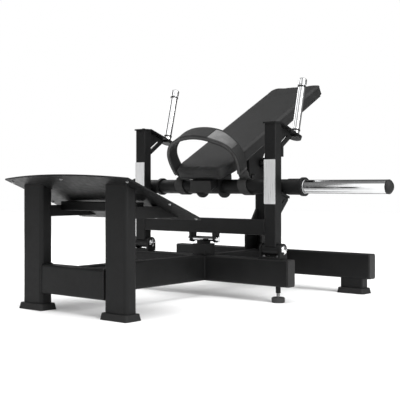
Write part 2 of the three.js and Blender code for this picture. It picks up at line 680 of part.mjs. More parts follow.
// The bar, with its sleeves, rings and end collars, and the two lugs that hold it to the pad tube's sides.
function makeWeightBar() {
  const { radius, halfLength, sleeveStart, sleeveRadius } = BAR;
  const { radius: collarRadius, width, middle } = COLLAR;
  const rightHalf = [
    [radius, middle - width / 2],
    [collarRadius, middle - width / 2],
    [collarRadius, middle + width / 2],
    [radius, middle + width / 2],
    [radius, sleeveStart],
    [sleeveRadius, sleeveStart],
    [sleeveRadius, halfLength - width],
    [collarRadius, halfLength - width],
    [collarRadius, halfLength],
    [0, halfLength],
  ];
  const leftHalf = rightHalf.map(([r, x]) => [r, -x]).reverse();
  const bar = turnedX([...leftHalf, ...rightHalf], BAR.y, BAR.z, 28);

  const { radius: lugRadius, thickness, halfTop } = BAR_LUG;
  const tan = Math.tan(rad(PAD.slope));
  const cos = Math.cos(rad(PAD.slope));
  const boardUnder = (y) => PAD.lowZ + (y - PAD.lowY) * tan - (PAD.thickness + PAD.board + 3 * GAP) / cos;
  const outline = new THREE.Shape();
  outline.moveTo(BAR.y - halfTop - 8, boardUnder(BAR.y - halfTop - 8));
  outline.lineTo(BAR.y - lugRadius, BAR.z);
  outline.absarc(BAR.y, BAR.z, lugRadius, Math.PI, 2 * Math.PI);
  outline.lineTo(BAR.y + halfTop, boardUnder(BAR.y + halfTop));
  const start = PAD_TUBE.halfWidth + GAP;
  const lugs = SIDES.map(([, side]) => mirrored(extrudeX(outline, start, start + thickness, 10), side));
  add("weight_bar", join(bar, ...lugs), blackPowderCoat);
}

function makeHorns() {
  const start = BAR.halfLength + GAP;
  const end = start + HORN.length;
  addPair("weight_horn", rodX(start, end, BAR.y, BAR.z, HORN.radius), chrome);
  const { capRadius, capLength } = HORN;
  const capStart = end + GAP;
  const capProfile = [
    [0, capStart],
    [capRadius + 3, capStart],
    [capRadius + 3.5, capStart + 6],
    [capRadius + 1, capStart + capLength * 0.5],
    [capRadius * 0.72, capStart + capLength * 0.82],
    [capRadius * 0.36, capStart + capLength * 0.96],
    [0, capStart + capLength],
  ];
  addPair("horn_cap", turnedX(capProfile, BAR.y, BAR.z), rubber);
}

// Two plates under the pad tube that straddle the fixed arm.
function makeFork() {
  const { y, z, radius, pin } = LEVER_PIVOT;
  const tubeBottom = PAD.thickness + PAD.board + 2 * GAP + PAD_TUBE.depth;
  const tan = Math.tan(rad(PAD.slope));
  const under = (atY) => PAD.lowZ + (atY - PAD.lowY) * tan - (tubeBottom + GAP) / Math.cos(rad(PAD.slope));
  const plate = new THREE.Shape();
  plate.moveTo(y - FORK.topFront, under(y - FORK.topFront));
  plate.lineTo(y - radius, z);
  plate.absarc(y, z, radius, Math.PI, 2 * Math.PI);
  plate.lineTo(y + FORK.topRear, under(y + FORK.topRear));
  const hole = rodX(-60, 60, y, z, pin + 0.5);
  addPair("lever_fork", cut(extrudeX(plate, FORK.inner, FORK.outer, 10), hole), blackPowderCoat);
}

// ---------- belt ----------
// Belt frame: local x across, local z away from the bar's axis, square to the pad; local y along the pad.
// The belt hangs a little off the machine's centre line.
const onBelt = (geometry) => slope(geometry, PAD.slope, BAR.y, BAR.z).translate(BELT.centre, 0, 0);

// The arch is a straight run from the loop to the widest point, then a half oval over the top.
function archPoints(inset) {
  const { x, bottom } = BELT;
  const { bulge, bulgeHeight, apex, ovalPower } = ARCH;
  const points = [];
  const sideSteps = 6;
  for (let i = 0; i <= sideSteps; i++) {
    const t = i / sideSteps;
    const swell = Math.sin((Math.PI * t) / 2);
    points.push([x + (bulge - x) * swell - inset, bottom + (bulgeHeight - bottom) * t]);
  }
  const ovalSteps = 28;
  for (let i = 1; i < ovalSteps; i++) {
    const angle = (Math.PI * i) / ovalSteps;
    const across = (bulge - inset) * Math.cos(angle);
    points.push([across, bulgeHeight + (apex - inset - bulgeHeight) * Math.sin(angle) ** ovalPower]);
  }
  const right = points.slice(0, sideSteps + 1);
  return [...points, ...right.reverse().map(([u, v]) => [-u, v])];
}

function makeBelt() {
  const { thickness } = BELT;
  const { middleWidth, endWidth, straightHalf, reach } = BELT_CUT;
  const outline = [...archPoints(0), ...archPoints(thickness).reverse()];
  const hoop = extrudeY(polygon(outline), -middleWidth / 2, middleWidth / 2);
  // Seen from above, the belt is widest over the hips and narrows towards its loops.
  const widths = polygon([
    [-reach, -endWidth / 2],
    [-straightHalf, -middleWidth / 2],
    [straightHalf, -middleWidth / 2],
    [reach, -endWidth / 2],
    [reach, endWidth / 2],
    [straightHalf, middleWidth / 2],
    [-straightHalf, middleWidth / 2],
    [-reach, endWidth / 2],
  ]);
  const band = solid(hoop).intersect(solid(extrudeZ(widths, 0, ARCH.apex + 5)));
  add("belt_band", onBelt(geometryOf(band)), webbing);

  const inner = BAR.radius + BELT_LOOP.clearance;
  const outer = inner + BELT_LOOP.thickness;
  const centre = BELT.x - thickness / 2;
  const half = BELT_LOOP.width / 2;
  const ring = tubeX(centre - half, centre + half, 0, 0, outer, inner, 28);
  const { neckHalfX, neckHalfWidth } = BELT_LOOP;
  const neckTop = BELT.bottom - GAP;
  const neck = box(centre - neckHalfX, centre + neckHalfX, -neckHalfWidth, neckHalfWidth, inner, neckTop);
  const bore = rodX(centre - half - 5, centre + half + 5, 0, 0, inner, 28);
  const loop = cut(join(ring, neck), bore);
  for (const [label, side] of SIDES) add(`belt_loop_${label}`, onBelt(mirrored(loop, side)), webbing);
}

makeFrontLegs();
makeFeet();
makeBaseBeams();
makeBeamCaps();
makeLevellers();
makeRearPost();
makePivotArm();
makeTravelStop();
makeFootplate();
makeRackHinges();
makeStopSaddle();
makeUprights();
makeRackCrossbeam();
makeHandles();
makeCradles();
makeNamePlates();
makePad();
makePadTube();
makeWeightBar();
makeHorns();
makeFork();
makeBelt();

// The origin is the centre of the machine's footprint box, on the floor.
const extent = new THREE.Box3().setFromObject(group);
group.position.y = -(extent.min.y + extent.max.y) / 2;

export default group;
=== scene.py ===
import json
import math

import bmesh
import bpy
from mathutils import Matrix, Vector


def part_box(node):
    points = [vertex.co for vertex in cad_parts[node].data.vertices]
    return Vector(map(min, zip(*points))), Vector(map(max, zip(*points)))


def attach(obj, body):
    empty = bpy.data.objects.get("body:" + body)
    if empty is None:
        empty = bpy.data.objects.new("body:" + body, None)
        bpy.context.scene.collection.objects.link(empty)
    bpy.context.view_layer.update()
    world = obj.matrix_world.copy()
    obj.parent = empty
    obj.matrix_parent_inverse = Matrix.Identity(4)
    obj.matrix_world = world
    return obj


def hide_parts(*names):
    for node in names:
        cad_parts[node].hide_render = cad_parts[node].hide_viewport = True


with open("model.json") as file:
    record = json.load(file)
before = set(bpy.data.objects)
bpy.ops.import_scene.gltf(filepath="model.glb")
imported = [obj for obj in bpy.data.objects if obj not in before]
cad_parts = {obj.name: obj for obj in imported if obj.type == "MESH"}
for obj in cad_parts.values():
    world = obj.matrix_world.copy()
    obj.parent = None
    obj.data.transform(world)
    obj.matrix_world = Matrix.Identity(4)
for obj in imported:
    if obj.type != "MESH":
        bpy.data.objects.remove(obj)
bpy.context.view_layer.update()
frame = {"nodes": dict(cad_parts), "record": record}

# ---------- sizes repeated from the CAD part, in metres ----------
MM = 0.001
RACK_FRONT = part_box("rack_upright_left")[0].y  # the machine's own Y = 0, in the part's frame
BAR = Vector((0, RACK_FRONT + 0.077, 0.414))
BAR_RADIUS = 0.0275
PAD_SLOPE = math.radians(28.7)
PAD_LOW = Vector((0, RACK_FRONT - 0.023, 0.479))
PAD_LENGTH = 0.782
PAD_THICKNESS = 0.043
PAD_HALF_WIDTHS = {"low": 0.104, "high": 0.112, "wide": 0.126}
PAD_TAPERS = {"low": 0.058, "high": 0.016}  # length over which each end narrows
BELT_CENTRE = 0.008
PLATE_SLOPE = math.radians(21)
PLATE_LOW = Vector((0, RACK_FRONT - 0.345, 0.303))
PLATE_THICKNESS = 0.005
HANDLE_X = 0.320
HANDLE_Y = 0.165
HANDLE_PLATE = {"bend_y": 0.042, "bend_z": 0.6413, "slope": math.radians(19), "thickness": 0.006}
GRIP_LEAN = math.radians(13.7)
GRIP_RADIUS = 0.0142
GRIP_LENGTH = 0.196
HORN_SEAT = 0.4214  # from the machine's middle plane to the start of the plate sleeve


def machine(x, y, z):
    """A point of the machine's own millimetre frame, in the part's frame."""
    return Vector((x * MM, RACK_FRONT + y * MM, z * MM))


PAD_FRAME = Matrix.Translation(PAD_LOW) @ Matrix.Rotation(PAD_SLOPE, 4, "X")
BELT_MIDDLE = BAR + Vector((BELT_CENTRE, 0, 0))
BELT_FRAME = Matrix.Translation(BELT_MIDDLE) @ Matrix.Rotation(PAD_SLOPE, 4, "X")
PLATE_FRAME = Matrix.Translation(PLATE_LOW) @ Matrix.Rotation(-PLATE_SLOPE, 4, "X")


# ---------- materials ----------
class Shader:
    """A Principled material whose colour, roughness and bump come from procedural nodes."""

    def __init__(self, name, coordinates="Object"):
        self.material = bpy.data.materials.new(name)
        self.material.use_nodes = True
        self.tree = self.material.node_tree
        self.bsdf = self.tree.nodes["Principled BSDF"]
        self.source = self.tree.nodes.new("ShaderNodeTexCoord").outputs[coordinates]

    def new(self, kind, **inputs):
        node = self.tree.nodes.new("ShaderNode" + kind)
        for key, value in inputs.items():
            if hasattr(value, "is_linked"):
                self.tree.links.new(value, node.inputs[key])
            else:
                node.inputs[key].default_value = value
        return node

    def scaled(self, stretch):
        return self.new("Mapping", Vector=self.source, Scale=stretch).outputs["Vector"]

    def noise(self, scale, detail=3.0, stretch=(1, 1, 1)):
        return self.new("TexNoise", Vector=self.scaled(stretch), Scale=scale, Detail=detail).outputs["Fac"]

    def cells(self, scale):
        return self.new("TexVoronoi", Vector=self.scaled((1, 1, 1)), Scale=scale).outputs["Distance"]

    def waves(self, direction, scale):
        node = self.new("TexWave", Vector=self.source, Scale=scale)
        node.bands_direction = direction
        return node.outputs["Fac"]

    def maths(self, operation, a, b):
        node = self.tree.nodes.new("ShaderNodeMath")
        node.operation = operation
        for i, value in enumerate((a, b)):
            if hasattr(value, "is_linked"):
                self.tree.links.new(value, node.inputs[i])
            else:
                node.inputs[i].default_value = value
        return node.outputs[0]

    def remap(self, value, low, high, start=0.3, end=0.7):
        args = {"Value": value, "From Min": start, "From Max": end, "To Min": low, "To Max": high}
        return self.new("MapRange", **args).outputs["Result"]

    def ramp(self, value, stops):
        node = self.new("ValToRGB", Fac=value)
        elements = node.color_ramp.elements
        while len(elements) < len(stops):
            elements.new(0.5)
        for element, (place, colour) in zip(elements, stops):
            element.position = place
            element.color = (*colour, 1)
        return node.outputs["Color"]

    def colour(self, value):
        self.tree.links.new(value, self.bsdf.inputs["Base Color"])

    def roughness(self, value):
        self.tree.links.new(value, self.bsdf.inputs["Roughness"])

    def bump(self, height, strength, distance):
        node = self.new("Bump", Height=height, Strength=strength, Distance=distance)
        self.tree.links.new(node.outputs["Normal"], self.bsdf.inputs["Normal"])

    def fixed(self, **inputs):
        for key, value in inputs.items():
            self.bsdf.inputs[key.replace("_", " ")].default_value = value
        return self.material


def grey(level, tint=0.0):
    return (level * (1 - tint), level, level * (1 + tint))


def powder_coat():
    s = Shader("satin_powder_coat")
    cloud = s.noise(7, 2)
    s.colour(s.ramp(cloud, [(0.3, grey(0.0050, 0.02)), (0.7, grey(0.0080, 0.02))]))
    peel = s.noise(1100, 2)
    s.roughness(s.remap(s.noise(55, 4), 0.40, 0.52))
    s.bump(peel, 0.16, 0.0004)
    return s.fixed(Specular_IOR_Level=0.17)


def chrome():
    s = Shader("polished_chrome")
    s.colour(s.ramp(s.noise(9, 2), [(0.3, grey(0.64, 0.006)), (0.7, grey(0.72, 0.006))]))
    s.roughness(s.remap(s.noise(140, 4, (0.15, 1, 1)), 0.07, 0.15))
    s.bump(s.noise(60, 3), 0.03, 0.0004)
    return s.fixed(Metallic=1.0)


def zinc():
    s = Shader("zinc_plated_steel")
    s.colour(s.ramp(s.noise(240, 4), [(0.3, grey(0.30)), (0.7, grey(0.42, 0.01))]))
    s.roughness(s.remap(s.noise(320, 4), 0.24, 0.4))
    s.bump(s.noise(900, 3), 0.12, 0.0003)
    return s.fixed(Metallic=1.0)


def rubber():
    s = Shader("moulded_rubber")
    s.colour(s.ramp(s.noise(25, 4), [(0.3, grey(0.008)), (0.7, grey(0.013))]))
    s.roughness(s.remap(s.noise(300, 3), 0.55, 0.72))
    s.bump(s.noise(1400, 3), 0.3, 0.0004)
    return s.fixed(Specular_IOR_Level=0.25)


def plastic():
    s = Shader("moulded_plastic")
    s.colour(s.ramp(s.noise(30, 3), [(0.3, grey(0.009)), (0.7, grey(0.013))]))
    s.roughness(s.remap(s.noise(200, 3), 0.42, 0.55))
    s.bump(s.cells(1500), 0.15, 0.0003)
    return s.fixed(Specular_IOR_Level=0.3)


def brushed_plate():
    s = Shader("brushed_blank_plate")
    lines = s.noise(420, 5, (1, 1, 0.03))
    s.colour(s.ramp(lines, [(0.25, grey(0.70, 0.004)), (0.75, grey(0.86, 0.004))]))
    s.roughness(s.remap(lines, 0.26, 0.42))
    s.bump(lines, 0.12, 0.0003)
    return s.fixed(Metallic=0.6)


def leather():
    s = Shader("grained_upholstery")
    s.colour(s.ramp(s.noise(18, 5), [(0.3, grey(0.0100, 0.01)), (0.7, grey(0.0135, 0.01))]))
    pebbles = s.maths("ADD", s.cells(520), s.maths("MULTIPLY", s.noise(900, 3), 0.35))
    s.roughness(s.remap(s.noise(420, 3), 0.46, 0.6))
    s.bump(pebbles, 0.22, 0.0006)
    return s.fixed(Specular_IOR_Level=0.25)


def webbing(name, low, high, ribs=1.0, fade=(1.0, 1.0)):
    """Woven strap; u runs along it and v across, both in metres.

    Its painted light goes from the first to the second value of fade along its first stretch: a painted
    highlight near the arch's top, painted shade further down its side.
    """
    stretch = 0.11
    s = Shader(name, "UV")
    along = s.waves("X", 95 * ribs)
    across = s.waves("Y", 120 * ribs)
    weave = s.maths("MAXIMUM", along, across)
    cloud = s.noise(30, 4)
    shade = s.maths("ADD", s.maths("MULTIPLY", weave, 0.55), s.maths("MULTIPLY", cloud, 0.45))
    along_strap = s.new("SeparateXYZ", Vector=s.source).outputs["X"]
    # painted light and shade: the weave's tone is scaled from fade's first value to its second over the
    # strap's first stretch
    painted_light_along_strap = s.maths("MULTIPLY", shade, s.remap(along_strap, *fade, 0.0, stretch))
    s.colour(s.ramp(painted_light_along_strap, [(0.15, grey(low)), (0.8, grey(high))]))
    s.roughness(s.remap(weave, 0.86, 0.66))
    s.bump(weave, 0.55, 0.0007)
    return s.fixed(Specular_IOR_Level=0.2)


def neoprene():
    s = Shader("belt_cover")
    s.colour(s.ramp(s.noise(40, 5), [(0.3, grey(0.046)), (0.7, grey(0.066))]))
    s.roughness(s.remap(s.noise(500, 3), 0.5, 0.66))
    s.bump(s.maths("ADD", s.cells(1300), s.noise(800, 2)), 0.2, 0.0004)
    return s.fixed(Specular_IOR_Level=0.25)


def levelling_foot():
    """Rubber pad below, zinc-plated thread above."""
    rubber_height = 0.0195
    s = Shader("levelling_foot")
    height = s.new("SeparateXYZ", Vector=s.source).outputs["Z"]
    steel = s.maths("GREATER_THAN", height, rubber_height)
    s.colour(s.ramp(steel, [(0.45, grey(0.016)), (0.55, grey(0.36))]))
    s.roughness(s.remap(steel, 0.65, 0.34, 0.0, 1.0))
    s.tree.links.new(steel, s.bsdf.inputs["Metallic"])
    thread = s.waves("Z", 210.0)
    s.bump(s.maths("MULTIPLY", thread, steel), 0.7, 0.0008)
    return s.material


def floor_material():
    s = Shader("pale_floor")
    s.colour(s.ramp(s.noise(3, 3), [(0.3, grey(0.90)), (0.7, grey(0.925))]))
    s.roughness(s.remap(s.noise(40, 3), 0.7, 0.85))
    s.bump(s.noise(200, 2), 0.03, 0.0005)
    return s.fixed(Specular_IOR_Level=0.1)


MATERIALS = {
    "black_powder_coat": powder_coat(),
    "chrome": chrome(),
    "black_rubber": rubber(),
    "black_plastic": plastic(),
    "brushed_plate": brushed_plate(),
    "pad_leather": leather(),
    "webbing": webbing("dark_webbing", 0.010, 0.024),
}
ZINC = zinc()
# pale webbing for the woven panel, with painted light near the arch's top fading to painted shade down its
# side
LIGHT_WEBBING = webbing("light_webbing", 0.02, 0.20, 0.8, (1.15, 0.5))
WRAP_WEBBING = webbing("wrap_webbing", 0.020, 0.042)
NEOPRENE = neoprene()
LEVELLING_FOOT = levelling_foot()


def set_material(obj, material):
    obj.data.materials.clear()
    obj.data.materials.append(material)


for subpart in frame["record"]["subparts"]:
    set_material(frame["nodes"][subpart["node"]], MATERIALS[subpart["material_slot"]])
for side in ("left", "right"):
    set_material(frame["nodes"]["levelling_foot_" + side], LEVELLING_FOOT)


# ---------- mesh helpers ----------
def mesh_object(name, vertices, faces, material, smooth=True):
    mesh = bpy.data.meshes.new(name)
    mesh.from_pydata([tuple(v) for v in vertices], [], faces)
    mesh.validate()
    obj = bpy.data.objects.new(name, mesh)
    bpy.context.collection.objects.link(obj)
    set_material(obj, material)
    for polygon in mesh.polygons:
        polygon.use_smooth = smooth
    return obj


def apply_modifiers(obj):
    bpy.context.view_layer.update()
    evaluated = obj.evaluated_get(bpy.context.evaluated_depsgraph_get())
    mesh = bpy.data.meshes.new_from_object(evaluated)
    obj.modifiers.clear()
    obj.data = mesh


def band(name, frames, profile, material, closed=False):
    """Sweeps a profile of (across, out) points along frames, and unrolls it in metres.

    A frame is its centre, its across and out directions, and the profile's scale across.
    """
    vertices, faces, uvs = [], [], []
    n = len(profile)
    travelled = 0.0
    around = [0.0]
    for a, b in zip(profile, profile[1:] + profile[:1]):
        around.append(around[-1] + math.dist(a, b))
    for i, (centre, across, out, scale) in enumerate(frames):
        if i:
            travelled += (centre - frames[i - 1][0]).length
        vertices += [centre + across * (u * scale) + out * w for u, w in profile]
        uvs.append(travelled)
    last = len(frames) if closed else len(frames) - 1
    face_uvs = []
    for i in range(last):
        j = (i + 1) % len(frames)
        end = travelled + (frames[0][0] - frames[-1][0]).length if j == 0 else uvs[j]
        for k in range(n):
            m = (k + 1) % n
            faces.append((i * n + k, i * n + m, j * n + m, j * n + k))
            face_uvs.append([
                (uvs[i], around[k]),
                (uvs[i], around[k + 1]),
                (end, around[k + 1]),
                (end, around[k]),
            ])
    if not closed:
        for start, order in ((0, range(n - 1, -1, -1)), ((len(frames) - 1) * n, range(n))):
            faces.append(tuple(start + k for k in order))
            face_uvs.append([(profile[k][0], profile[k][1]) for k in order])
    mesh = bpy.data.meshes.new(name)
    mesh.from_pydata([tuple(v) for v in vertices], [], faces)
    layer = mesh.uv_layers.new(name="UVMap")
    for polygon, corners in zip(mesh.polygons, face_uvs):
        polygon.use_smooth = True
        for loop, uv in zip(polygon.loop_indices, corners):
            layer.data[loop].uv = uv
    fix = bmesh.new()
    fix.from_mesh(mesh)
    bmesh.ops.recalc_face_normals(fix, faces=fix.faces)
    fix.to_mesh(mesh)
    fix.free()
    obj = bpy.data.objects.new(name, mesh)
    bpy.context.collection.objects.link(obj)
    set_material(obj, material)
    return obj


def strap_profile(width, thickness):
    """Flat strap section with round edges."""
    half, r = width / 2, thickness / 2
    flat = half - r - 0.0035  # where the strap starts to round off
    points = []
    for i in range(5):
        a = -math.pi / 2 + math.pi * i / 4
        points.append((half - r + r * math.cos(a), r * math.sin(a)))
    points += [(flat, r), (0, r), (-flat, r)]
    for i in range(5):
        a = math.pi / 2 + math.pi * i / 4
        points.append((-half + r + r * math.cos(a), r * math.sin(a)))
    points += [(-flat, -r), (0, -r), (flat, -r)]
    return points


def slab_profile(width, thickness, corner):
    """Section of a foam slab with flat edges and softly rounded corners."""
    points = []
    for quarter, (su, sw) in enumerate(((1, 1), (-1, 1), (-1, -1), (1, -1))):
        for i in range(4):
            a = math.pi / 2 * (quarter + i / 3)
            u = su * (width / 2 - corner) + corner * math.cos(a)
            points.append((u, sw * (thickness / 2 - corner) + corner * math.sin(a)))
    return points


def tube_profile(radius):
    """Round section with eight sides."""
    angles = [2 * math.pi * i / 8 for i in range(8)]
    return [(radius * math.cos(a), radius * math.sin(a)) for a in angles]


def rounded_path(points, radius, steps):
    """A closed polygon path with its corners rounded."""
    result = []
    count = len(points)
    for i, corner in enumerate(points):
        before = (points[i - 1] - corner).normalized()
        after = (points[(i + 1) % count] - corner).normalized()
        start, end = corner + before * radius, corner + after * radius
        for k in range(steps + 1):
            t = k / steps
            result.append(start * (1 - t) ** 2 + corner * (2 * t * (1 - t)) + end * t * t)
    return result


def resampled(points, spacing):
    """Evenly spaced points round a closed path."""
    loop = points + points[:1]
    total = sum((b - a).length for a, b in zip(loop, loop[1:]))
    count = max(8, round(total / spacing))
    step = total / count
    result, carried = [], 0.0
    for a, b in zip(loop, loop[1:]):
        length = (b - a).length
        while carried < length - 1e-9:
            result.append(a.lerp(b, carried / length))
            carried += step
        carried -= length
    return result[:count]


# ---------- back pad ----------
def pad_outline(inset):
    """The pad's outline in its own frame; a negative inset makes it larger."""
    low, high, wide = (PAD_HALF_WIDTHS[key] - inset for key in ("low", "high", "wide"))
    points = [(low, inset), (wide, PAD_TAPERS["low"])]
    points += [(wide, PAD_LENGTH - PAD_TAPERS["high"]), (high, PAD_LENGTH - inset)]
    points += [(-x, y) for x, y in reversed(points)]
    return [Vector((x, y, 0)) for x, y in points]


def swollen(obj, limit, frames=20):
    """Cloth pressure on a closed form, with each point's travel capped."""
    before = [v.co.copy() for v in obj.data.vertices]
    cloth = obj.modifiers.new("foam", "CLOTH")
    cloth.settings.use_pressure = True
    cloth.settings.uniform_pressure_force = 4
    cloth.settings.effector_weights.gravity = 0
    cloth.settings.quality = 5
    scene = bpy.context.scene
    for number in range(1, frames + 1):
        scene.frame_set(number)
    apply_modifiers(obj)
    scene.frame_set(1)
    for vertex, start in zip(obj.data.vertices, before):
        travel = vertex.co - start
        if travel.length > limit:
            vertex.co = start + travel.normalized() * limit


def make_pad():
    """The pad: rounded rows from its underside to its top, evened out and swollen."""
    outset, corner, spacing = 0.0025, 0.008, 0.012
    outline = resampled(rounded_path(pad_outline(-outset), corner, 6), spacing)
    middle = Vector((0, PAD_LENGTH / 2, 0))
    underside = 0.0003 - PAD_THICKNESS
    rows = []
    for inset, z in (
        (0.003, underside),
        (0.0, 0.003 - PAD_THICKNESS),
        (0.0, -0.0040),
        (0.0006, -0.0016),
        (0.0030, -0.0006),
    ):
        rows.append([p + (middle - p).normalized() * inset + Vector((0, 0, z)) for p in outline])
    count = len(outline)
    vertices = [p for row in rows for p in row]
    vertices += [middle + Vector((0, 0, underside)), middle + Vector((0, 0, -0.0004))]
    faces = []
    for r in range(len(rows) - 1):
        for k in range(count):
            m = (k + 1) % count
            faces.append((r * count + k, r * count + m, (r + 1) * count + m, (r + 1) * count + k))
    low, top = len(vertices) - 2, len(vertices) - 1
    start = (len(rows) - 1) * count
    faces += [(low, (k + 1) % count, k) for k in range(count)]
    faces += [(top, start + k, start + (k + 1) % count) for k in range(count)]
    pad = mesh_object("back_pad_cover", vertices, faces, MATERIALS["pad_leather"])
    remesh = pad.modifiers.new("even_mesh", "REMESH")
    remesh.mode = "VOXEL"
    remesh.voxel_size = 0.004
    apply_modifiers(pad)
    swollen(pad, 0.0045)
    for vertex in pad.data.vertices:
        vertex.co.z = max(vertex.co.z, 0.0002 - PAD_THICKNESS)
    smooth = pad.modifiers.new("even", "SMOOTH")
    smooth.factor = 0.5
    smooth.iterations = 1
    subdivision = pad.modifiers.new("fine", "SUBSURF")
    subdivision.levels = subdivision.render_levels = 1
    apply_modifiers(pad)
    for polygon in pad.data.polygons:
        polygon.use_smooth = True
    set_material(pad, MATERIALS["pad_leather"])
    pad.data.transform(PAD_FRAME)
    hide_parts("back_pad")
    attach(pad, "lever")
    return pad


def make_pad_seams(pad):
    """A piped seam round the top panel, and a thin hem round the pad's foot."""
    bpy.context.view_layer.update()
    to_pad = pad.matrix_world.inverted()
    face = (PAD_FRAME.to_3x3() @ Vector((0, 0, 1))).normalized()
    outset, corner, spacing = 0.005, 0.010, 0.006
    outline = resampled(rounded_path(pad_outline(-outset), corner, 8), spacing)
    for name, height, radius, lift in (
        ("pad_top_piping", -0.0012, 0.0018, 0.0003),
        ("pad_hem", 0.0055 - PAD_THICKNESS, 0.0012, 0.0001),
    ):
        found = []
        for p in outline:
            probe = PAD_FRAME @ (p + Vector((0, 0, height)))
            _, place, normal, _ = pad.closest_point_on_mesh(to_pad @ probe)
            found.append(pad.matrix_world @ place + (pad.matrix_world.to_3x3() @ normal) * lift)
        count = len(found)
        frames = []
        for i, place in enumerate(found):
            ahead = (found[(i + 1) % count] - found[i - 1]).normalized()
            frames.append((place, ahead.cross(face).normalized(), face, 1))
        seam = band(name, frames, tube_profile(radius), MATERIALS["pad_leather"], closed=True)
        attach(seam, "lever")


# ---------- belt ----------
ARCH = {
    "x": 0.163,
    "bulge": 0.173,
    "bulge_height": 0.122,
    "apex": 0.2375,
    "bottom": 0.064,
    "thickness": 0.013,
    "straight": 0.13,  # share of the belt that rises straight at each side
}
BELT_WIDTH = 0.078
PIPING_RADIUS = 0.0015
STITCH_RADIUS = 0.00055


def arch_point(t, inset):
    """Point of the belt's arch; t runs from 0 at the left loop to 1 at the right one."""
    a = ARCH
    straight = a["straight"]
    if t < straight or t > 1 - straight:
        s = min(t, 1 - t) / straight
        across = a["x"] + (a["bulge"] - a["x"]) * math.sin(s * math.pi / 2) - inset
        side = -1 if t < 0.5 else 1
        return Vector((side * across, 0, a["bottom"] + (a["bulge_height"] - a["bottom"]) * s))
    angle = math.pi * (1 - (t - straight) / (1 - 2 * straight))
    rise = (a["apex"] - inset - a["bulge_height"]) * max(math.sin(angle), 0) ** 0.92
    return Vector(((a["bulge"] - inset) * math.cos(angle), 0, a["bulge_height"] + rise))


def arch_frames(start, end, inset, count):
    """Frames along the arch in the part's frame; the strap narrows and slants towards its ends."""
    taper, slant, step = 0.6, 0.002, 0.004
    narrow_at, narrowing = 0.172, 0.085  # distance from the middle, and the length before it
    frames = []
    turn = BELT_FRAME.to_3x3()
    for i in range(count + 1):
        t = start + (end - start) * i / count
        place = arch_point(t, inset)
        before, after = arch_point(max(t - step, 0), inset), arch_point(min(t + step, 1), inset)
        ahead = (after - before).normalized()
        out = Vector((-ahead.z, 0, ahead.x))
        spread = max(0.0, min(1.0, (narrow_at - abs(place.x)) / narrowing))
        narrow = taper + (1 - taper) * spread * spread * (3 - 2 * spread)
        place = place + Vector((0, slant * math.sin(math.pi * t * 2), 0))
        frames.append((BELT_FRAME @ place, turn @ Vector((0, 1, 0)), turn @ out, narrow))
    return frames


def make_belt():
    """Padded band over the hips, its woven straps, piped edges and stitch rows."""
    middle = 0.0074  # depth of the padding's middle under the arch
    padding = slab_profile(BELT_WIDTH, 0.0118, 0.0022)
    cover = band("belt_cover", arch_frames(0, 1, middle, 120), padding, NEOPRENE)
    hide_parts("belt_band")
    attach(cover, "belt")
    woven = MATERIALS["webbing"]
    for name, start, end, inset, margin, thickness, material in (
        ("belt_overlap", 0.42, 0.60, 0.0002, 0.004, 0.0036, woven),
        ("belt_woven_panel", 0.595, 0.775, 0.0012, 0.014, 0.0024, LIGHT_WEBBING),
        ("belt_top_webbing", 0.02, 0.98, 0.0018, 0.006, 0.0018, woven),
        ("belt_lining", 0.03, 0.97, 0.0128, 0.012, 0.0016, woven),
    ):
        profile = strap_profile(BELT_WIDTH - margin, thickness)
        strap = band(name, arch_frames(start, end, inset, 60), profile, material)
        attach(strap, "belt")
    half = BELT_WIDTH / 2
    for label, inset in (("outer", 0.0016), ("inner", 0.0132)):
        for edge, side in (("front", -1), ("rear", 1)):
            profile = [(side * half + u, w) for u, w in tube_profile(PIPING_RADIUS)]
            name = f"belt_{edge}_{label}_piping"
            line = arch_frames(0.01, 0.99, inset, 120)
            piping = band(name, line, profile, MATERIALS["black_plastic"])
            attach(piping, "belt")
    centre, across, out, _ = arch_frames(0.598, 0.599, 0.0, 1)[0]
    ahead = across.cross(out).normalized()
    fold_step, stitch_step = 0.0074, 0.0052
    line = [(centre + across * (k * fold_step), ahead, out, 1) for k in range(-5, 6)]
    fold = band("belt_fold_edge", line, strap_profile(0.006, 0.003), MATERIALS["black_plastic"])
    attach(fold, "belt")
    for index, place in enumerate((0.435, 0.585, 0.765)):
        centre, across, out, _ = arch_frames(place, place + 0.001, 0.0001, 1)[0]
        stitches = [centre + across * ((k - 6) * stitch_step) for k in range(13)]
        make_stitches(f"belt_stitches_{index}", stitches, across, out)


def make_stitches(name, places, along, out):
    """A row of short thread stitches lying on a strap, each a bent thread of three hexagons."""
    vertices, faces = [], []
    side = along.cross(out).normalized()
    for place in places:
        base = len(vertices)
        for end, lift in ((-0.0016, 0.0), (0.0, 0.0007), (0.0016, 0.0)):
            for k in range(6):
                a = 2 * math.pi * k / 6
                up, aside = STITCH_RADIUS * math.sin(a), STITCH_RADIUS * math.cos(a)
                vertices.append(place + along * end + out * (lift + up) + side * aside)
        for r in (base, base + 6):
            for k in range(6):
                m = (k + 1) % 6
                faces.append((r + k, r + m, r + 6 + m, r + 6 + k))
        faces.append(tuple(base + k for k in range(5, -1, -1)))
        faces.append(tuple(base + 12 + k for k in range(6)))
    obj = mesh_object(name, vertices, faces, LIGHT_WEBBING)
    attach(obj, "belt")


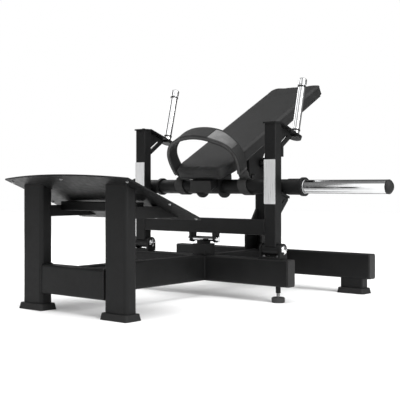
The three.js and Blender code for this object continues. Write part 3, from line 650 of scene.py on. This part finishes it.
def make_belt_ends():
    """Each end of the strap twists a quarter turn, wraps the bar and is sewn back on itself."""
    turn = BELT_FRAME.to_3x3()
    inner = BAR_RADIUS + 0.0008
    wrap_steps, neck_steps, keeper_steps = 48, 14, 32
    neck_top = 0.069
    for side, name in ((-1, "left"), (1, "right")):
        centre_x = side * (ARCH["x"] - ARCH["thickness"] / 2)
        ring = []
        for i in range(wrap_steps + 1):
            a = math.pi / 2 + 2 * math.pi * i / wrap_steps
            reach = inner + (0.0021 + 0.0022 * max(0, 1 - i / 5))
            slant = -0.011 * math.sin(a)
            place = Vector((centre_x + slant, reach * math.cos(a), reach * math.sin(a)))
            out = Vector((0, math.cos(a), math.sin(a)))
            ring.append((BELT_FRAME @ place, turn @ Vector((1, 0, 0)), turn @ out, 1))
        wrap = band("belt_wrap_" + name, ring, strap_profile(0.040, 0.0036), WRAP_WEBBING)
        neck = []
        top = arch_point(0.0 if side < 0 else 1.0, 0.0075)
        for i in range(neck_steps + 1):
            t = i / neck_steps
            ease = t * t * (3 - 2 * t)
            angle = side * ease * math.pi / 2
            across = Vector((math.sin(angle), math.cos(angle), 0))
            out = Vector((math.cos(angle), -math.sin(angle), 0))
            x = top.x + (centre_x + side * 0.002 - top.x) * ease
            place = Vector((x, 0, neck_top + (inner + 0.0035 - neck_top) * t))
            neck.append((BELT_FRAME @ place, turn @ across, turn @ out, 1 - 0.2 * ease))
        twist = band("belt_twist_" + name, neck, strap_profile(0.044, 0.0072), WRAP_WEBBING)
        keeper = []
        for i in range(keeper_steps):
            a = 2 * math.pi * i / keeper_steps
            u, v = math.cos(a), math.sin(a)
            reach_x = 0.0215 * math.copysign(abs(u) ** 0.6, u)
            reach_y = 0.0085 * math.copysign(abs(v) ** 0.6, v)
            place = Vector((centre_x + reach_x, reach_y, 0.0385))
            keeper.append((BELT_FRAME @ place, turn @ Vector((u, v, 0)), turn @ Vector((0, 0, 1)), 1))
        rope = tube_profile(0.0022)
        loop = band("belt_keeper_" + name, keeper, rope, MATERIALS["black_plastic"], closed=True)
        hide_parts("belt_loop_" + name)
        for piece in (wrap, twist, loop):
            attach(piece, "belt")


# ---------- turned details ----------
def lathe(name, frame_matrix, profile, material):
    """A closed ring turned about a frame's Z axis from (radius, height) points."""
    segments = 40
    vertices, faces = [], []
    n = len(profile)
    for i in range(segments):
        a = 2 * math.pi * i / segments
        ray = [Vector((r * math.cos(a), r * math.sin(a), h)) for r, h in profile]
        vertices += [frame_matrix @ point for point in ray]
    for i in range(segments):
        j = (i + 1) % segments
        for k in range(n):
            m = (k + 1) % n
            faces.append((i * n + k, j * n + k, j * n + m, i * n + m))
    return mesh_object(name, vertices, faces, material)


def ring_profile(inner, outer, low, high):
    """Section of a ring whose outer edges are bevelled."""
    bevel = 0.0008
    return [
        (inner, low),
        (outer - bevel, low),
        (outer, low + bevel),
        (outer, high - bevel),
        (outer - bevel, high),
        (inner, high),
    ]


def make_handle_rings():
    """Two black rings on each grip, where it leaves its plate and below its end."""
    plate = HANDLE_PLATE
    drop = (HANDLE_Y - plate["bend_y"]) * math.tan(plate["slope"])
    foot = plate["bend_z"] - drop + plate["thickness"] / math.cos(plate["slope"])
    for side, name in ((-1, "left"), (1, "right")):
        place = Vector((side * HANDLE_X, RACK_FRONT + HANDLE_Y, foot))
        axis = Matrix.Translation(place) @ Matrix.Rotation(-GRIP_LEAN, 4, "X")
        for label, low, high, rim in (
            ("foot", 0.0170, 0.0235, 0.0020),
            ("neck", GRIP_LENGTH - 0.0090, GRIP_LENGTH - 0.0024, 0.0022),
        ):
            profile = ring_profile(GRIP_RADIUS + 0.0001, GRIP_RADIUS + rim, low, high)
            title = f"handle_{label}_ring_{name}"
            ring = lathe(title, axis, profile, MATERIALS["black_plastic"])
            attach(ring, "rack")


def make_horn_rings():
    """A zinc ring round the inner end of each plate sleeve."""
    for side, name in ((-1, "left"), (1, "right")):
        axis = Matrix.Translation(BAR) @ Matrix.Rotation(side * math.pi / 2, 4, "Y")
        profile = ring_profile(0.0246, 0.0262, HORN_SEAT, HORN_SEAT + 0.003)
        ring = lathe("horn_seat_ring_" + name, axis, profile, ZINC)
        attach(ring, "lever")


# ---------- fasteners ----------
def bolt_mesh(builder, place, normal, radius, height, sides):
    """Washer and head on one face; six sides make a hexagon head, more make a button head."""
    around = 24
    turn = normal.to_track_quat("Z", "Y").to_matrix()
    washer = [(1.35, 0), (1.35, 0.22)]
    head = [(1, 0.23), (1, 0.8), (0.82, 1)]
    socket = [(0.42, 1), (0.36, 0.55)]
    rows = [(radius * r, height * h) for r, h in washer + head + socket]
    rows.append((0.00001, height * 0.55))
    first, last = len(washer), len(washer) + len(head) - 1
    start = len(builder["v"])
    for index, (r, h) in enumerate(rows):
        for k in range(around):
            a = 2 * math.pi * k / around
            reach = r
            if sides == 6 and first <= index <= last:
                reach = r / math.cos((a % (math.pi / 3)) - math.pi / 6) * 0.92
            point = Vector((reach * math.cos(a), reach * math.sin(a), h))
            builder["v"].append(place + turn @ point)
    for r in range(len(rows) - 1):
        b = start + r * around
        for k in range(around):
            m = (k + 1) % around
            builder["f"].append((b + k, b + m, b + around + m, b + around + k))
    builder["f"].append(tuple(start + k for k in range(around - 1, -1, -1)))


def make_bolts(name, body, bolts, material):
    """One piece of all the bolts given as (place, direction, radius, height, sides)."""
    builder = {"v": [], "f": []}
    for place, normal, radius, height, sides in bolts:
        bolt_mesh(builder, place, normal.normalized(), radius, height, sides)
    obj = mesh_object(name, builder["v"], builder["f"], material, smooth=False)
    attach(obj, body)


def under_plate(x, y):
    """The footplate's underside at a point of the machine's plan, both in millimetres."""
    return machine(x, y, 303 + (-345 - y) * math.tan(PLATE_SLOPE))


def make_fasteners():
    """Nuts, screws and bolts that hold the plates, the brackets and the pad's tube."""
    up, forward = Vector((0, 0, 1)), Vector((0, -1, 0))
    black = MATERIALS["black_plastic"]
    normal = PLATE_FRAME.to_3x3() @ up
    spots = [(0, -700), (-272, -676), (272, -676), (-280, -493), (280, -493)]
    spots += [(-280, -362), (280, -362), (-100, -362), (100, -362)]
    undersides = [under_plate(x, y) for x, y in spots]
    nuts = [(p, -normal, 0.0044, 0.0040, 6) for p in undersides]
    make_bolts("footplate_nuts", "base", nuts, ZINC)
    heads = [(p + normal * PLATE_THICKNESS, normal, 0.0056, 0.0030, 24) for p in undersides]
    make_bolts("footplate_screws", "base", heads, ZINC)
    stop = [(machine(x, 350, 510), forward, 0.0062, 0.0045, 24) for x in (-33, 33)]
    make_bolts("travel_stop_screws", "base", stop, black)
    caps = [(machine(x, 20, 647.3), up, 0.0055, 0.0035, 24) for x in (-320, 320)]
    make_bolts("handle_plate_screws", "rack", caps, black)
    corners = [(dx, dy) for dx in (-30, 30) for dy in (-14, 14)]
    bracket = [(machine(x + dx, 20 + dy, 163.3), up) for x in (-320, 320) for dx, dy in corners]
    bracket_bolts = [(p, way, 0.0045, 0.0045, 6) for p, way in bracket]
    make_bolts("rack_bracket_bolts", "base", bracket_bolts, ZINC)
    under_tube = Vector((0, math.sin(PAD_SLOPE), -math.cos(PAD_SLOPE)))
    tube_bolt = [(machine(27, 17, 403), under_tube, 0.006, 0.006, 6)]
    make_bolts("pad_tube_bolt", "lever", tube_bolt, ZINC)


def make_tread():
    """Raised anti-slip bars on the footplate's top, turned alternately."""
    rows, columns, widest = 11, 7, 0.272
    pitch_x, pitch_y, first_row = 0.036, 0.030, 0.032
    half_length, half_width, rise = 0.0115, 0.0036, 0.0014
    around = 10
    vertices, faces = [], []
    for row in range(rows):
        for column in range(-columns, columns + 1):
            x = column * pitch_x + (0.5 * pitch_x if row % 2 else 0)
            y = -(first_row + row * pitch_y)
            if abs(x) > widest:
                continue
            angle = math.radians(45 if (row + column) % 2 else -45)
            along = Vector((math.cos(angle), math.sin(angle), 0))
            side = Vector((-along.y, along.x, 0))
            base = len(vertices)
            for scale, height in ((1.0, PLATE_THICKNESS), (0.62, PLATE_THICKNESS + rise)):
                for k in range(around):
                    a = 2 * math.pi * k / around
                    offset = along * (half_length * scale * math.cos(a))
                    offset += side * (half_width * scale * math.sin(a))
                    vertices.append(PLATE_FRAME @ (Vector((x, y, height)) + offset))
            for k in range(around):
                m = (k + 1) % around
                faces.append((base + k, base + m, base + around + m, base + around + k))
            faces.append(tuple(base + around + k for k in range(around)))
            faces.append(tuple(base + k for k in range(around - 1, -1, -1)))
    tread = mesh_object("footplate_tread", vertices, faces, MATERIALS["black_powder_coat"])
    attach(tread, "base")


# ---------- weld beads ----------
def weld(name, body, points, out, radius=0.0028):
    """A rippled weld bead along a line of points in the machine's own millimetres."""
    ripple_length, ripple_depth = 0.0022, 0.22
    points = [machine(*point) for point in points]
    line = []
    for a, b in zip(points, points[1:]):
        steps = max(2, round((b - a).length / ripple_length))
        line += [a.lerp(b, i / steps) for i in range(steps)]
    line.append(points[-1])
    frames = []
    for i, place in enumerate(line):
        ahead = (line[min(i + 1, len(line) - 1)] - line[max(i - 1, 0)]).normalized()
        across = ahead.cross(out).normalized()
        ripple = 1 + ripple_depth * math.sin(i * 1.9)
        frames.append((place, across, out, ripple))
    bead = band(name, frames, tube_profile(radius), MATERIALS["black_powder_coat"])
    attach(bead, body)


def make_welds():
    """Beads where tubes, legs, gussets and webs meet, to the left and to the right."""
    top = 155  # of the floor beams
    bead = 4.2  # from the middle of an 8 mm web to its bead
    up, rear = Vector((0, 0, 1)), Vector((0, 1, 0))
    for side, name in ((-1, "left"), (1, "right")):
        inward, outward = Vector((-side, 0, 0)), Vector((side, 0, 0))
        x = side * 25.2
        round_beam = [(x, -7, 60), (x, -8, top - 3), (x, -6, top)]
        round_beam += [(x, 40, top), (x, 42, top - 3), (x, 41, 60)]
        weld("mid_beam_weld_" + name, "base", round_beam, outward)
        x = side * 148.8
        round_leg = [(x, -655, 62), (x, -656, top - 4), (x, -652, top)]
        round_leg += [(x, -610, top), (x, -606, top - 4)]
        weld("leg_weld_" + name, "base", round_leg, inward)
        x = side * 40 + side * bead
        along_gusset = [(x, 338, top + 0.5), (x, 415, top + 0.5)]
        weld("gusset_weld_" + name, "base", along_gusset, up, 0.0022)
        x = side * 294.8
        round_crossbeam = [(x, 1, 246), (x, 0, 291), (x, 4, 295), (x, 36, 295), (x, 40, 291)]
        weld("crossbeam_weld_" + name, "rack", round_crossbeam, inward)
        x = side * 320 + bead
        handle_web = [(x, 40.5, 536), (x, 40.5, 636)]
        weld("handle_web_weld_" + name, "rack", handle_web, rear, 0.002)
        x = side * 335 + side * bead
        cradle_web = [(x, 40.5, 338), (x, 40.5, 385)]
        weld("cradle_web_weld_" + name, "rack", cradle_web, rear, 0.002)


# ---------- setting ----------
def make_setting():
    """Floor, camera and lights, in a white room."""
    corners = [(-9, -9, 0), (9, -9, 0), (9, 9, 0), (-9, 9, 0)]
    floor = mesh_object("floor", corners, [(0, 1, 2, 3)], floor_material(), smooth=False)

    camera_data = bpy.data.cameras.new("camera")
    camera = bpy.data.objects.new("camera", camera_data)
    bpy.context.collection.objects.link(camera)
    camera.location = machine(2106, -2542, 418)
    camera.rotation_euler = (math.radians(90), 0, math.radians(39.7))
    camera_data.sensor_width = 36
    camera_data.lens = 77.85
    camera_data.shift_y = -0.036
    camera_data.clip_start = 0.05
    camera_data.clip_end = 60
    bpy.context.scene.camera = camera
    bpy.context.scene.view_settings.view_transform = "Standard"

    for name, place, size, power, aim in (
        ("key_light", (3.8, -0.6, 2.2), 2.6, 125, (0, 0, 0.4)),
        ("front_light", (-0.6, -3.8, 2.2), 2.6, 30, (0, -0.2, 0.35)),
        ("left_light", (-3.2, 0.4, 2.4), 2.6, 60, (0, 0.1, 0.5)),
    ):
        light_data = bpy.data.lights.new(name, "AREA")
        light_data.energy = power
        light_data.size = size
        light = bpy.data.objects.new(name, light_data)
        bpy.context.collection.objects.link(light)
        light.location = place
        direction = Vector(aim) - Vector(place)
        light.rotation_euler = direction.to_track_quat("-Z", "Y").to_euler()

    sky_data = bpy.data.lights.new("overhead_light", "SUN")
    sky_data.energy = 2.4
    sky_data.angle = math.radians(60)
    sky = bpy.data.objects.new("overhead_light", sky_data)
    sky.rotation_euler = (math.radians(8), math.radians(6), 0)
    bpy.context.collection.objects.link(sky)

    make_world()


def make_world():
    """White backdrop; what the object mirrors is a studio, bright in front and above."""
    world = bpy.data.worlds.new("studio")
    bpy.context.scene.world = world
    world.use_nodes = True
    tree = world.node_tree
    background = tree.nodes["Background"]
    coordinates = tree.nodes.new("ShaderNodeTexCoord")
    facing = tree.nodes.new("ShaderNodeVectorMath")
    facing.operation = "DOT_PRODUCT"
    facing.inputs[1].default_value = (0.72, -0.40, 0.56)
    ramp = tree.nodes.new("ShaderNodeValToRGB")
    for element, (place, level) in zip(ramp.color_ramp.elements, ((0.0, 0.13), (1.0, 0.86))):
        element.position = place
        element.color = (level, level, level, 1)
    seen = tree.nodes.new("ShaderNodeLightPath")
    mix = tree.nodes.new("ShaderNodeMix")
    mix.data_type = "RGBA"
    mix.inputs["B"].default_value = (1, 1, 1, 1)
    links = tree.links
    links.new(coordinates.outputs["Generated"], facing.inputs[0])
    links.new(facing.outputs["Value"], ramp.inputs["Fac"])
    links.new(seen.outputs["Is Camera Ray"], mix.inputs["Factor"])
    links.new(ramp.outputs["Color"], mix.inputs["A"])
    links.new(mix.outputs["Result"], background.inputs["Color"])
    background.inputs["Strength"].default_value = 1.0


make_setting()
pad_cover = make_pad()
make_pad_seams(pad_cover)
make_belt()
make_belt_ends()
make_handle_rings()
make_horn_rings()
make_fasteners()
make_tread()
make_welds()

bpy.context.view_layer.update()
